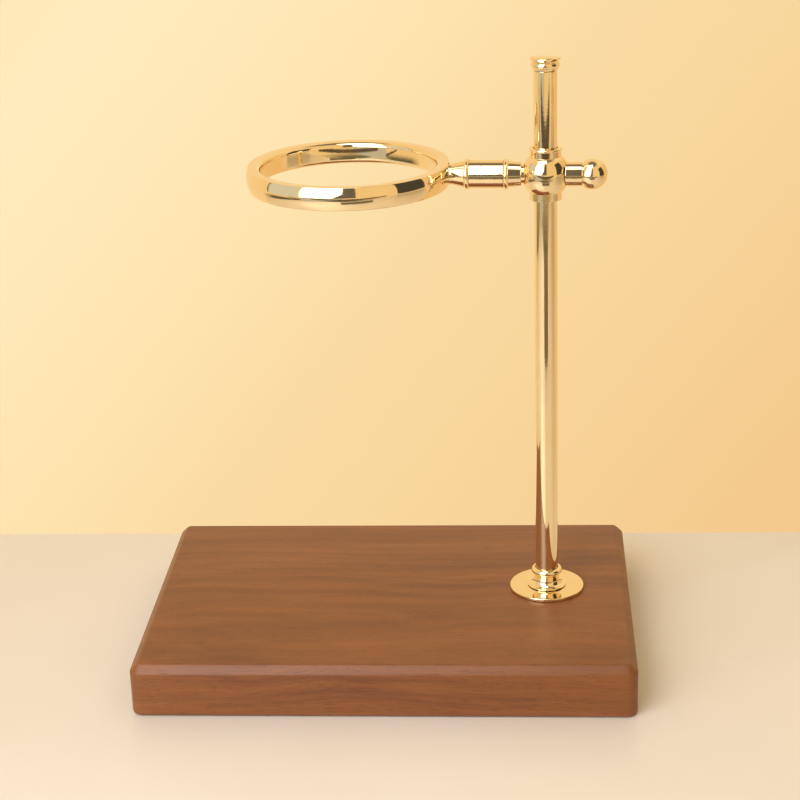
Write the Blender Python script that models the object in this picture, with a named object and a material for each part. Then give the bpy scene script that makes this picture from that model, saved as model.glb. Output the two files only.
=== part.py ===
"""Ring stand on a wooden board: a turned pole carries a sliding barrel boss,
and an arm on the boss holds a ring over the board.

Metres, +Z up. The origin is under the middle of the board, on the surface
that the stand rests on. +X points from the ring to the pole, +Y to the back.
"""

import math

import bmesh
import bpy

MM = 0.001

# ---------------------------------------------------------------- fits
TOUCH_GAP = 0.3 * MM            # between pieces that rest on each other
RUNNING_GAP = 0.15 * MM         # on the radius, between pieces that slide or turn
STUD_GAP = 0.2 * MM             # on the radius, between a thread and its hole

# ---------------------------------------------------------------- overall sizes
TOTAL_HEIGHT = 320.0 * MM
BOARD_LENGTH = 260.0 * MM
BOARD_DEPTH = 180.0 * MM
BOARD_THICKNESS = 28.0 * MM
ARM_LENGTH = 48.0 * MM          # pole axis to the ring's outer wall
ARM_HEIGHT = 260.0 * MM         # arm axis above the table, at rest
ARM_REST_ANGLE = 3.5            # degrees that the arm is turned back from the board's length

# ---------------------------------------------------------------- board
BOARD_CHAMFER = 4.0 * MM
BOARD_CORNER_RADIUS = 6.0 * MM
BOARD_BOTTOM_ROUND = 1.5 * MM
POLE_FROM_RIGHT_EDGE = 45.0 * MM
POLE_BEHIND_MIDDLE = 4.0 * MM

# ---------------------------------------------------------------- foot pads
PAD_DIAMETER = 14.0 * MM
PAD_THICKNESS = 1.5 * MM
PAD_PROUD = 0.5 * MM            # how far a pad stands out of its recess
PAD_FROM_EDGE = 18.0 * MM

# ---------------------------------------------------------------- fixing bolt and washers
THREAD_DIAMETER = 6.0 * MM
BOLT_HEAD_DIAMETER = 11.0 * MM
BOLT_HEAD_HEIGHT = 4.0 * MM
BOLT_HEAD_EDGE = 1.1 * MM       # how far the head's lower edge is rounded in
BOLT_SOCKET_ACROSS = 4.0 * MM
BOLT_SOCKET_DEPTH = 2.4 * MM
BOLT_ENGAGEMENT = 11.0 * MM     # how far the bolt reaches into the foot plug
BOLT_HOLE_CLEARANCE = 0.5 * MM
WASHER_DIAMETER = 18.0 * MM
WASHER_THICKNESS = 1.6 * MM
SPRING_WASHER_DIAMETER = 10.6 * MM
SPRING_WASHER_THICKNESS = 1.5 * MM
SPRING_WASHER_SPLIT = 14.0      # degrees
COUNTERBORE_CLEARANCE = 1.5 * MM
COUNTERBORE_HEADROOM = 2.0 * MM

# ---------------------------------------------------------------- flange disc and collar
DISC_DIAMETER = 40.0 * MM
DISC_THICKNESS = 1.6 * MM
DISC_EDGE = 0.5 * MM
COLLAR_HEIGHT = 10.2 * MM
COLLAR_FOOT_EDGE = 0.5 * MM
COLLAR_FOOT_WALL = 4.5 * MM     # the three walls are measured outwards from the pole's surface
COLLAR_NECK_WALL = 1.0 * MM
COLLAR_BEAD_WALL = 2.3 * MM
COLLAR_BEAD_HEIGHT = 4.0 * MM

# ---------------------------------------------------------------- pole
POLE_DIAMETER = 12.0 * MM
POLE_WALL = 1.2 * MM
PLUG_LENGTH = 18.0 * MM
PLUG_END_WALL = 3.0 * MM
CAP_RIM_OVERHANG = 1.8 * MM     # the four overhangs are measured outwards from the pole's surface
CAP_GROOVE_OVERHANG = 0.6 * MM
CAP_BAND_OVERHANG = 1.35 * MM
CAP_NECK_OVERHANG = 0.5 * MM
CAP_DOME_RISE = 0.3 * MM
CAP_EDGE_HEIGHT = 0.5 * MM
CAP_COVE_HEIGHT = 1.6 * MM      # the hollow under the rim
CAP_GROOVE_HEIGHT = 0.5 * MM
CAP_BAND_HEIGHT = 2.7 * MM
CAP_NECK_HEIGHT = 1.2 * MM
CAP_SPIGOT_LENGTH = 9.0 * MM

# ---------------------------------------------------------------- sliding boss
BOSS_DIAMETER = 23.2 * MM       # across the barrel
BARREL_ABOVE = 9.9 * MM         # half height of the barrel above the arm axis, if it closed to a point
BARREL_BELOW = 10.3 * MM
BARREL_ORDER = 4.0              # 2 is a ball, more is squarer
UPPER_LIP_WALL = 1.5 * MM       # the three walls are measured outwards from the bush pocket
UPPER_COLLAR_WALL = 0.9 * MM
LOWER_COLLAR_WALL = 1.25 * MM
UPPER_LIP_HEIGHT = 1.2 * MM
UPPER_COLLAR_TOP = 13.8 * MM    # above the arm axis
LOWER_COLLAR_BOTTOM = 13.0 * MM  # below the arm axis
COLLAR_EDGE = 0.4 * MM
BUSH_WALL = 0.8 * MM
BUSH_LENGTH = 4.5 * MM
BUSH_SPLIT = 10.0               # degrees
BUSH_COVER = 1.0 * MM           # brass left over each bush at the boss's mouths

# ---------------------------------------------------------------- arm
SEAT_DIAMETER = 9.8 * MM
SEAT_CUT = 1.4 * MM             # depth of the flat that the arm is seated on, from the barrel's side
SEAT_CLEARANCE = 0.3 * MM
SEAT_LENGTH = 1.6 * MM
SLEEVE_DIAMETER = 12.4 * MM     # at the boss
SLEEVE_DIAMETER_OUT = 13.4 * MM
SLEEVE_SHARE = 0.18             # of the length between the boss and the ring
ARM_BEAD_DIAMETER = 15.8 * MM
ARM_BEAD_WIDTH = 2.6 * MM
ARM_BAR_DIAMETER = 14.4 * MM
ARM_BAR_SHARE = 0.485
ARM_CONE_DIAMETER = 13.7 * MM
ARM_NOSE_DIAMETER = 10.6 * MM   # where the arm meets the ring
ARM_NOSE_STEP = 0.4 * MM        # straight end of the nose that stands out of the ring's seat
ARM_STUD_DEPTH = 12.0 * MM      # in the arm
ARM_STUD_BACKOFF = 0.8 * MM     # stud end short of the boss's bore

# ---------------------------------------------------------------- ring
RING_DIAMETER = 105.6 * MM
RING_WALL = 7.8 * MM
RING_HEIGHT = 11.6 * MM
RING_BULGE = 1.3 * MM           # how far the outer wall swells past its edges
RING_INNER_ROUND = 2.8 * MM     # radius of the two edges of the bore
RING_SEAT_CUT = 1.4 * MM        # depth of the flat for the arm's end
RING_STUD_DIAMETER = 5.0 * MM
RING_STUD_IN_RING = 4.0 * MM
RING_STUD_IN_ARM = 6.0 * MM

# ---------------------------------------------------------------- clamp
KNOB_STANDOFF = 0.3 * MM        # from the barrel's side to the knob's near face
KNOB_NECK_DIAMETER = 12.4 * MM
KNOB_NECK_LENGTH = 6.8 * MM
KNOB_GROOVE_DIAMETER = 11.0 * MM
KNOB_GROOVE_LENGTH = 0.8 * MM
KNOB_BALL_DIAMETER = 15.8 * MM
KNOB_BALL_SET = 4.0 * MM        # groove to the ball's centre
SCREW_IN_KNOB = 9.5 * MM
PAD_TIP_LENGTH = 1.4 * MM
PAD_TIP_DIAMETER = 5.0 * MM

# ---------------------------------------------------------------- derived places
POLE_X = BOARD_LENGTH / 2 - POLE_FROM_RIGHT_EDGE
POLE_Y = POLE_BEHIND_MIDDLE
BOARD_BOTTOM = PAD_PROUD
BOARD_TOP = BOARD_BOTTOM + BOARD_THICKNESS
DISC_BOTTOM = BOARD_TOP + TOUCH_GAP
DISC_TOP = DISC_BOTTOM + DISC_THICKNESS
COLLAR_BOTTOM = DISC_TOP + TOUCH_GAP
COLLAR_TOP = COLLAR_BOTTOM + COLLAR_HEIGHT
CAP_RIM_HEIGHT = CAP_DOME_RISE + CAP_EDGE_HEIGHT + CAP_COVE_HEIGHT
CAP_LENGTH = CAP_RIM_HEIGHT + CAP_GROOVE_HEIGHT + CAP_BAND_HEIGHT + CAP_NECK_HEIGHT
CAP_BOTTOM = TOTAL_HEIGHT - CAP_LENGTH
POLE_BOTTOM = DISC_TOP + TOUCH_GAP
POLE_TOP = CAP_BOTTOM - TOUCH_GAP
POLE_R = POLE_DIAMETER / 2
PLUG_R = POLE_R - POLE_WALL - TOUCH_GAP
THREAD_R = THREAD_DIAMETER / 2
THREAD_HOLE_R = THREAD_R + STUD_GAP
BUSH_BORE_R = POLE_R + RUNNING_GAP
BUSH_R = BUSH_BORE_R + BUSH_WALL
BUSH_POCKET_R = BUSH_R + RUNNING_GAP
BOSS_BORE_R = POLE_R + TOUCH_GAP
BOSS_R = BOSS_DIAMETER / 2
SEAT_DEPTH = BOSS_R - SEAT_CUT
RING_R = RING_DIAMETER / 2
RING_BORE_R = RING_R - RING_WALL
ARM_REACH = ARM_LENGTH + RING_R
ARM_END = ARM_LENGTH + RING_SEAT_CUT - TOUCH_GAP
KNOB_START = BOSS_R + KNOB_STANDOFF
COUNTERBORE_R = WASHER_DIAMETER / 2 + COUNTERBORE_CLEARANCE
BOLT_HOLE_R = THREAD_R + BOLT_HOLE_CLEARANCE
STACK_HEIGHT = BOLT_HEAD_HEIGHT + SPRING_WASHER_THICKNESS + WASHER_THICKNESS + 3 * TOUCH_GAP
COUNTERBORE_TOP = BOARD_BOTTOM + COUNTERBORE_HEADROOM + STACK_HEIGHT

# ---------------------------------------------------------------- facets
SMALL_FACETS = 24
ROUND_FACETS = 32
RING_FACETS = 72
BARREL_STEPS = 14


# ================================================================ tools
def clear_scene():
    for leftover in list(bpy.data.objects):
        bpy.data.objects.remove(leftover, do_unlink=True)


def finish_material(name, colour, roughness, metallic):
    material = bpy.data.materials.new(name)
    material.use_nodes = True
    shader = material.node_tree.nodes["Principled BSDF"]
    shader.inputs["Base Color"].default_value = (*colour, 1.0)
    shader.inputs["Roughness"].default_value = roughness
    shader.inputs["Metallic"].default_value = metallic
    return material


def axis_empty(name, location, rotation=(0.0, 0.0, 0.0), parent=None):
    """An empty that marks an axis; its children are placed from it."""
    empty = bpy.data.objects.new(name, None)
    empty.location = location
    empty.rotation_euler = rotation
    empty.parent = parent
    bpy.context.collection.objects.link(empty)
    return empty


def make_object(name, shape, material, parent=None, location=(0.0, 0.0, 0.0)):
    """Turn a bmesh into a named object with outward faces and smooth round sides."""
    bmesh.ops.remove_doubles(shape, verts=shape.verts, dist=0.001 * MM)
    bmesh.ops.recalc_face_normals(shape, faces=shape.faces)
    mesh = bpy.data.meshes.new(name)
    shape.to_mesh(mesh)
    shape.free()
    mesh.shade_smooth()
    mesh.set_sharp_from_angle(angle=math.radians(35))
    if material is not None:
        mesh.materials.append(material)
    piece = bpy.data.objects.new(name, mesh)
    piece.parent = parent
    piece.location = location
    bpy.context.collection.objects.link(piece)
    return piece


def arc(centre_r, centre_z, radius, start, end, steps):
    """Points on a circle in the profile plane; angles in degrees from +r."""
    points = []
    for step in range(steps + 1):
        angle = math.radians(start + (end - start) * step / steps)
        points.append((centre_r + radius * math.cos(angle), centre_z + radius * math.sin(angle)))
    return points


def turned(name, profile, material, facets=ROUND_FACETS, closed=False, parent=None,
           location=(0.0, 0.0, 0.0), sweep=360.0):
    """A lathe-turned piece: a profile of (radius, height) points spun about local Z."""
    shape = bmesh.new()
    verts = [shape.verts.new((radius, 0.0, height)) for radius, height in profile]
    edges = [shape.edges.new(pair) for pair in zip(verts, verts[1:])]
    if closed:
        edges.append(shape.edges.new((verts[-1], verts[0])))
    whole_turn = sweep >= 360.0
    bmesh.ops.spin(
        shape, geom=verts + edges, cent=(0.0, 0.0, 0.0), axis=(0.0, 0.0, 1.0),
        angle=math.radians(sweep), steps=facets, use_merge=whole_turn)
    if not whole_turn:
        open_edges = [edge for edge in shape.edges if edge.is_boundary]
        bmesh.ops.holes_fill(shape, edges=open_edges, sides=0)
    return make_object(name, shape, material, parent, location)


def cut(piece, cutter):
    """Subtract cutter from piece with an exact Boolean."""
    cutter.hide_render = True
    cutter.display_type = "WIRE"
    boolean = piece.modifiers.new("cut_" + cutter.name, "BOOLEAN")
    boolean.operation = "DIFFERENCE"
    boolean.object = cutter


def rod_profile(radius, low, high):
    return [(0.0, low), (radius, low), (radius, high), (0.0, high)]


def tube_profile(inner, outer, low, high):
    return [(inner, low), (outer, low), (outer, high), (inner, high)]


def cutter_rod(name, radius, low, high, parent=None, location=(0.0, 0.0, 0.0), facets=SMALL_FACETS):
    return turned(name, rod_profile(radius, low, high), None, facets, parent=parent, location=location)


# ================================================================ pieces
def make_board(wood):
    shape = bmesh.new()
    bmesh.ops.create_cube(shape, size=1.0)
    bmesh.ops.scale(shape, verts=shape.verts, vec=(BOARD_LENGTH, BOARD_DEPTH, BOARD_THICKNESS))
    middle = BOARD_BOTTOM + BOARD_THICKNESS / 2
    bmesh.ops.translate(shape, verts=shape.verts, vec=(0.0, 0.0, middle))

    def bevel(edges, width, segments):
        bmesh.ops.bevel(shape, geom=edges, offset=width, offset_type="OFFSET", segments=segments,
                        profile=0.5, affect="EDGES", material=-1)

    upright = [edge for edge in shape.edges if abs(edge.verts[0].co.z - edge.verts[1].co.z) > 1.0 * MM]
    bevel(upright, BOARD_CORNER_RADIUS, 5)
    level = 0.01 * MM
    top_rim = [edge for edge in shape.edges if all(v.co.z > BOARD_TOP - level for v in edge.verts)]
    bevel(top_rim, BOARD_CHAMFER, 1)
    bottom_rim = [edge for edge in shape.edges if all(v.co.z < BOARD_BOTTOM + level for v in edge.verts)]
    bevel(bottom_rim, BOARD_BOTTOM_ROUND, 2)
    board = make_object("base_board", shape, wood)

    pole_place = (POLE_X, POLE_Y, 0.0)
    past = 1.0 * MM
    cut(board, turned("bolt_hole_cutter", [
        (0.0, -past), (COUNTERBORE_R, -past), (COUNTERBORE_R, COUNTERBORE_TOP),
        (BOLT_HOLE_R, COUNTERBORE_TOP), (BOLT_HOLE_R, BOARD_TOP + past), (0.0, BOARD_TOP + past)],
        None, SMALL_FACETS, location=pole_place))
    for name, place in pad_places():
        recess_top = PAD_THICKNESS + TOUCH_GAP
        cut(board, cutter_rod(name + "_recess_cutter", PAD_DIAMETER / 2 + TOUCH_GAP, -past, recess_top,
                              location=place))


def pad_places():
    across = BOARD_LENGTH / 2 - PAD_FROM_EDGE
    deep = BOARD_DEPTH / 2 - PAD_FROM_EDGE
    places = []
    for side, x in (("left", -across), ("right", across)):
        for end, y in (("front", -deep), ("back", deep)):
            places.append((f"foot_pad_{end}_{side}", (x, y, 0.0)))
    return places


def make_foot_pads(felt):
    for name, place in pad_places():
        turned(name, rod_profile(PAD_DIAMETER / 2, 0.0, PAD_THICKNESS), felt, SMALL_FACETS, location=place)


def make_fixing(steel):
    """Bolt, spring washer and flat washer, from the counterbore up into the foot plug."""
    place = (POLE_X, POLE_Y, 0.0)
    washer_top = COUNTERBORE_TOP - TOUCH_GAP
    washer_bottom = washer_top - WASHER_THICKNESS
    spring_top = washer_bottom - TOUCH_GAP
    spring_bottom = spring_top - SPRING_WASHER_THICKNESS
    head_top = spring_bottom - TOUCH_GAP
    head_bottom = head_top - BOLT_HEAD_HEIGHT
    head_r = BOLT_HEAD_DIAMETER / 2
    tip = POLE_BOTTOM + BOLT_ENGAGEMENT
    tip_bevel = THREAD_R / 5
    bolt = turned("fixing_bolt", [
        (0.0, head_bottom), (head_r - BOLT_HEAD_EDGE, head_bottom), (head_r, head_bottom + BOLT_HEAD_EDGE),
        (head_r, head_top), (THREAD_R, head_top), (THREAD_R, tip - tip_bevel),
        (THREAD_R - tip_bevel, tip), (0.0, tip)], steel, SMALL_FACETS, location=place)
    socket_r = BOLT_SOCKET_ACROSS / 2 / math.cos(math.pi / 6)
    cut(bolt, cutter_rod("hex_socket_cutter", socket_r, head_bottom - 1.0 * MM,
                         head_bottom + BOLT_SOCKET_DEPTH, location=place, facets=6))
    hole_r = THREAD_R + BOLT_HOLE_CLEARANCE
    turned("flat_washer", tube_profile(hole_r, WASHER_DIAMETER / 2, washer_bottom, washer_top),
           steel, SMALL_FACETS, closed=True, location=place)
    turned("spring_washer", tube_profile(hole_r - TOUCH_GAP, SPRING_WASHER_DIAMETER / 2, spring_bottom,
                                         spring_top),
           steel, SMALL_FACETS, closed=True, location=place, sweep=360.0 - SPRING_WASHER_SPLIT)


def make_flange(brass):
    """The flat disc on the board, and the turned collar around the pole's foot."""
    place = (POLE_X, POLE_Y, 0.0)
    disc_r = DISC_DIAMETER / 2
    turned("flange_disc", [
        (BOLT_HOLE_R, DISC_BOTTOM), (disc_r, DISC_BOTTOM), (disc_r, DISC_TOP - DISC_EDGE),
        (disc_r - DISC_EDGE, DISC_TOP), (BOLT_HOLE_R, DISC_TOP)], brass, 48, closed=True, location=place)

    neck_r = POLE_R + COLLAR_NECK_WALL
    foot_r = POLE_R + COLLAR_FOOT_WALL
    bead_half = COLLAR_BEAD_HEIGHT / 2
    bead_r = POLE_R + COLLAR_BEAD_WALL
    hollow_r = foot_r - neck_r
    bore_r = POLE_R + TOUCH_GAP
    foot_top = COLLAR_BOTTOM + COLLAR_FOOT_EDGE
    bead_z = COLLAR_TOP - bead_half
    profile = [(bore_r, COLLAR_BOTTOM), (foot_r, COLLAR_BOTTOM)]
    profile += arc(foot_r, foot_top + hollow_r, hollow_r, 270.0, 180.0, 6)
    profile += arc(bead_r - bead_half, bead_z, bead_half, -60.0, 90.0, 7)
    profile.append((bore_r, COLLAR_TOP))
    turned("flange_collar", profile, brass, closed=True, location=place)


def make_pole(brass, steel):
    place = (POLE_X, POLE_Y, 0.0)
    bore_r = POLE_R - POLE_WALL
    turned("pole_tube", tube_profile(bore_r, POLE_R, POLE_BOTTOM, POLE_TOP), brass, closed=True, location=place)
    hole_top = POLE_BOTTOM + PLUG_LENGTH - PLUG_END_WALL
    turned("pole_foot_plug", [
        (0.0, hole_top), (THREAD_HOLE_R, hole_top), (THREAD_HOLE_R, POLE_BOTTOM), (PLUG_R, POLE_BOTTOM),
        (PLUG_R, POLE_BOTTOM + PLUG_LENGTH), (0.0, POLE_BOTTOM + PLUG_LENGTH)],
        steel, SMALL_FACETS, location=place)
    spigot_r = THREAD_R
    plug_bottom = POLE_TOP - PLUG_LENGTH
    turned("pole_head_plug", tube_profile(spigot_r + STUD_GAP, PLUG_R, plug_bottom, POLE_TOP),
           steel, SMALL_FACETS, closed=True, location=place)

    rim_r = POLE_R + CAP_RIM_OVERHANG
    groove_r = POLE_R + CAP_GROOVE_OVERHANG
    neck_r = POLE_R + CAP_NECK_OVERHANG
    edge_top = TOTAL_HEIGHT - CAP_DOME_RISE
    cove_top = edge_top - CAP_EDGE_HEIGHT
    groove_top = TOTAL_HEIGHT - CAP_RIM_HEIGHT
    band_top = groove_top - CAP_GROOVE_HEIGHT
    band_z = band_top - CAP_BAND_HEIGHT / 2
    band_rise = POLE_R + CAP_BAND_OVERHANG - groove_r
    neck_top = CAP_BOTTOM + CAP_NECK_HEIGHT
    profile = [(0.0, TOTAL_HEIGHT), (rim_r / 2, TOTAL_HEIGHT - CAP_DOME_RISE / 4)]
    profile += [(rim_r - CAP_DOME_RISE, edge_top), (rim_r, edge_top - CAP_DOME_RISE), (rim_r, cove_top)]
    for degrees in (30.0, 60.0, 90.0):
        angle = math.radians(degrees)
        profile.append((rim_r - (rim_r - groove_r) * math.sin(angle),
                        groove_top + CAP_COVE_HEIGHT * math.cos(angle)))
    profile.append((groove_r, band_top))
    for degrees in (60.0, 30.0, 0.0, -30.0, -60.0):
        angle = math.radians(degrees)
        profile.append((groove_r + band_rise * math.cos(angle),
                        band_z + CAP_BAND_HEIGHT / 2 * math.sin(angle)))
    profile += [(groove_r, neck_top), (neck_r, neck_top - CAP_NECK_HEIGHT / 3), (neck_r, CAP_BOTTOM)]
    profile += [(spigot_r, CAP_BOTTOM), (spigot_r, CAP_BOTTOM - CAP_SPIGOT_LENGTH),
                (0.0, CAP_BOTTOM - CAP_SPIGOT_LENGTH)]
    turned("pole_cap", profile, brass, location=place)


def make_boss(brass, nylon, carriage, swing):
    """The barrel-shaped boss that slides on the pole, on two split bushes snapped into its bore."""
    upper_mouth = UPPER_COLLAR_TOP
    lower_mouth = -LOWER_COLLAR_BOTTOM
    for name, mouth, inward in (("upper_bush", upper_mouth, -1.0), ("lower_bush", lower_mouth, 1.0)):
        start = mouth + inward * (BUSH_COVER + TOUCH_GAP)
        end = start + inward * BUSH_LENGTH
        turned(name, tube_profile(BUSH_BORE_R, BUSH_R, min(start, end), max(start, end)), nylon,
               closed=True, parent=carriage, sweep=360.0 - BUSH_SPLIT)

    pocket = BUSH_LENGTH + 2 * TOUCH_GAP
    upper_r = BUSH_POCKET_R + UPPER_COLLAR_WALL
    lip_r = BUSH_POCKET_R + UPPER_LIP_WALL
    lower_r = BUSH_POCKET_R + LOWER_COLLAR_WALL

    def meeting_angle(collar_r):
        return math.acos((collar_r / BOSS_R) ** (BARREL_ORDER / 2))

    low_turn = -meeting_angle(lower_r)
    high_turn = meeting_angle(upper_r)
    profile = []
    for step in range(BARREL_STEPS + 1):
        turn = low_turn + (high_turn - low_turn) * step / BARREL_STEPS
        half_height = BARREL_ABOVE if turn > 0.0 else BARREL_BELOW
        rise = math.copysign(half_height * abs(math.sin(turn)) ** (2 / BARREL_ORDER), turn)
        profile.append((BOSS_R * math.cos(turn) ** (2 / BARREL_ORDER), rise))
    profile += [(upper_r, upper_mouth - UPPER_LIP_HEIGHT)]
    profile += arc(lip_r - UPPER_LIP_HEIGHT / 2, upper_mouth - UPPER_LIP_HEIGHT / 2, UPPER_LIP_HEIGHT / 2,
                   -60.0, 90.0, 4)
    profile += [(BOSS_BORE_R, upper_mouth)]
    for mouth, inward in ((upper_mouth, -1.0), (lower_mouth, 1.0)):
        near = mouth + inward * BUSH_COVER
        far = near + inward * pocket
        step = [(BOSS_BORE_R, near), (BUSH_POCKET_R, near), (BUSH_POCKET_R, far), (BOSS_BORE_R, far)]
        profile += step if inward < 0.0 else step[::-1]
    profile += [(BOSS_BORE_R, lower_mouth), (lower_r - COLLAR_EDGE, lower_mouth),
                (lower_r, lower_mouth + COLLAR_EDGE)]
    return turned("slider_boss", profile, brass, closed=True, parent=swing)


def make_arm(brass, steel, boss, arm_axis):
    """Everything that reaches from the boss to the ring; local Z runs out along the arm."""
    sleeve_start = SEAT_DEPTH + TOUCH_GAP + SEAT_LENGTH
    visible_length = ARM_LENGTH - sleeve_start
    sleeve_end = sleeve_start + SLEEVE_SHARE * visible_length
    bar_start = sleeve_end + ARM_BEAD_WIDTH
    bar_end = bar_start + ARM_BAR_SHARE * visible_length
    cone_start = bar_end + ARM_BEAD_WIDTH
    bead_r = ARM_BEAD_DIAMETER / 2
    bar_r = ARM_BAR_DIAMETER / 2
    seat_r = SEAT_DIAMETER / 2
    nose_r = ARM_NOSE_DIAMETER / 2
    half_bead = ARM_BEAD_WIDTH / 2

    def bead(start):
        return arc(bead_r - half_bead, start + half_bead, half_bead, -75.0, 75.0, 5)

    stud_hole_end = SEAT_DEPTH + TOUCH_GAP + ARM_STUD_DEPTH + TOUCH_GAP
    ring_stud_r = RING_STUD_DIAMETER / 2
    ring_hole_start = ARM_END - RING_STUD_IN_ARM - TOUCH_GAP
    profile = [(0.0, stud_hole_end), (THREAD_HOLE_R, stud_hole_end), (THREAD_HOLE_R, SEAT_DEPTH + TOUCH_GAP)]
    profile += [(seat_r, SEAT_DEPTH + TOUCH_GAP), (seat_r, sleeve_start)]
    profile += [(SLEEVE_DIAMETER / 2 - COLLAR_EDGE, sleeve_start),
                (SLEEVE_DIAMETER / 2, sleeve_start + COLLAR_EDGE), (SLEEVE_DIAMETER_OUT / 2, sleeve_end)]
    profile += bead(sleeve_end)
    profile += [(bar_r, bar_start), (bar_r, bar_end)]
    profile += bead(bar_end)
    profile += [(ARM_CONE_DIAMETER / 2, cone_start), (nose_r, ARM_LENGTH - ARM_NOSE_STEP), (nose_r, ARM_END)]
    profile += [(ring_stud_r + STUD_GAP, ARM_END), (ring_stud_r + STUD_GAP, ring_hole_start),
                (0.0, ring_hole_start)]
    turned("arm", profile, brass, parent=arm_axis)

    stud_start = BOSS_BORE_R + ARM_STUD_BACKOFF
    turned("arm_stud", rod_profile(THREAD_R, stud_start, SEAT_DEPTH + TOUCH_GAP + ARM_STUD_DEPTH), steel,
           SMALL_FACETS, parent=arm_axis)
    ring_stud_end = ARM_END + TOUCH_GAP + RING_STUD_IN_RING
    turned("ring_stud", rod_profile(ring_stud_r, ARM_END - RING_STUD_IN_ARM, ring_stud_end), steel,
           SMALL_FACETS, parent=arm_axis)

    cut(boss, cutter_rod("arm_stud_hole_cutter", THREAD_HOLE_R, 0.0, BOSS_DIAMETER, parent=arm_axis))
    cut(boss, cutter_rod("arm_seat_cutter", seat_r + SEAT_CLEARANCE, SEAT_DEPTH, BOSS_DIAMETER,
                         parent=arm_axis))


def make_ring(brass, arm_axis):
    """The ring stands across the arm: its own axis is vertical, at the arm's reach."""
    half = RING_HEIGHT / 2
    bulge_radius = (half ** 2 + RING_BULGE ** 2) / (2 * RING_BULGE)
    bulge_angle = math.degrees(math.asin(half / bulge_radius))
    profile = arc(RING_R - bulge_radius, 0.0, bulge_radius, -bulge_angle, bulge_angle, 6)
    round_r = RING_BORE_R + RING_INNER_ROUND
    round_z = half - RING_INNER_ROUND
    profile += arc(round_r, round_z, RING_INNER_ROUND, 90.0, 180.0, 3)
    profile += arc(round_r, -round_z, RING_INNER_ROUND, 180.0, 270.0, 3)
    ring = turned("ring", profile, brass, RING_FACETS, closed=True, parent=arm_axis,
                  location=(0.0, 0.0, ARM_REACH))
    ring.rotation_euler = (0.0, math.radians(90.0), 0.0)
    hole_end = ARM_END + TOUCH_GAP + RING_STUD_IN_RING + TOUCH_GAP
    seat_start = ARM_END - RING_STUD_IN_ARM
    seat_end = ARM_LENGTH + RING_SEAT_CUT
    seat_r = ARM_NOSE_DIAMETER / 2 + SEAT_CLEARANCE
    hole_r = RING_STUD_DIAMETER / 2 + STUD_GAP
    cut(ring, turned("ring_seat_cutter", [
        (0.0, seat_start), (seat_r, seat_start), (seat_r, seat_end), (hole_r, seat_end), (hole_r, hole_end),
        (0.0, hole_end)], None, SMALL_FACETS, parent=arm_axis))


def make_clamp(brass, steel, nylon, boss, tip_axis, knob_axis):
    """Knob, screw and nylon tip; local Z runs out from the pole."""
    neck_end = KNOB_START + KNOB_NECK_LENGTH
    groove_end = neck_end + KNOB_GROOVE_LENGTH
    neck_r = KNOB_NECK_DIAMETER / 2
    groove_r = KNOB_GROOVE_DIAMETER / 2
    ball_r = KNOB_BALL_DIAMETER / 2
    screw_end = KNOB_START + SCREW_IN_KNOB
    ball_start = -math.degrees(math.asin(KNOB_BALL_SET / ball_r))
    profile = [(0.0, screw_end + TOUCH_GAP), (THREAD_HOLE_R, screw_end + TOUCH_GAP),
               (THREAD_HOLE_R, KNOB_START), (neck_r - COLLAR_EDGE, KNOB_START),
               (neck_r, KNOB_START + COLLAR_EDGE), (neck_r, neck_end), (groove_r, neck_end),
               (groove_r, groove_end)]
    profile += arc(0.0, groove_end + KNOB_BALL_SET, ball_r, ball_start, 90.0, 12)
    turned("clamp_knob", profile, brass, parent=knob_axis)

    tip_start = POLE_R + TOUCH_GAP
    tip_end = tip_start + PAD_TIP_LENGTH
    turned("clamp_tip", rod_profile(PAD_TIP_DIAMETER / 2, tip_start, tip_end), nylon, SMALL_FACETS,
           parent=tip_axis)
    turned("clamp_screw", rod_profile(THREAD_R, tip_end + TOUCH_GAP, screw_end), steel, SMALL_FACETS,
           parent=knob_axis)
    cut(boss, cutter_rod("clamp_hole_cutter", THREAD_HOLE_R, 0.0, BOSS_DIAMETER, parent=tip_axis))


# ================================================================ assembly
def build():
    clear_scene()
    wood = finish_material("walnut_stained_wood", (0.30, 0.14, 0.06), 0.45, 0.0)
    brass = finish_material("polished_brass", (0.91, 0.76, 0.47), 0.08, 1.0)
    steel = finish_material("zinc_plated_steel", (0.62, 0.63, 0.65), 0.35, 1.0)
    nylon = finish_material("natural_nylon", (0.86, 0.84, 0.78), 0.5, 0.0)
    felt = finish_material("dark_felt", (0.05, 0.05, 0.05), 0.95, 0.0)

    make_board(wood)
    make_foot_pads(felt)
    make_fixing(steel)
    make_flange(brass)
    make_pole(brass, steel)

    quarter = math.radians(90.0)
    carriage = axis_empty("carriage_axis", (POLE_X, POLE_Y, ARM_HEIGHT))
    swing = axis_empty("swing_axis", (0.0, 0.0, 0.0), (0.0, 0.0, -math.radians(ARM_REST_ANGLE)), carriage)
    arm_axis = axis_empty("arm_axis", (0.0, 0.0, 0.0), (0.0, -quarter, 0.0), swing)
    tip_axis = axis_empty("clamp_axis", (0.0, 0.0, 0.0), (0.0, quarter, 0.0), swing)
    knob_axis = axis_empty("knob_axis", (0.0, 0.0, 0.0), (0.0, 0.0, 0.0), tip_axis)
    boss = make_boss(brass, nylon, carriage, swing)
    make_arm(brass, steel, boss, arm_axis)
    make_ring(brass, arm_axis)
    make_clamp(brass, steel, nylon, boss, tip_axis, knob_axis)


build()
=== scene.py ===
"""Ring stand: the finished pieces, materials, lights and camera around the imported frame.

Metres, +Z up. Local Z of every turned piece is its lathe axis.
"""

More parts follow.
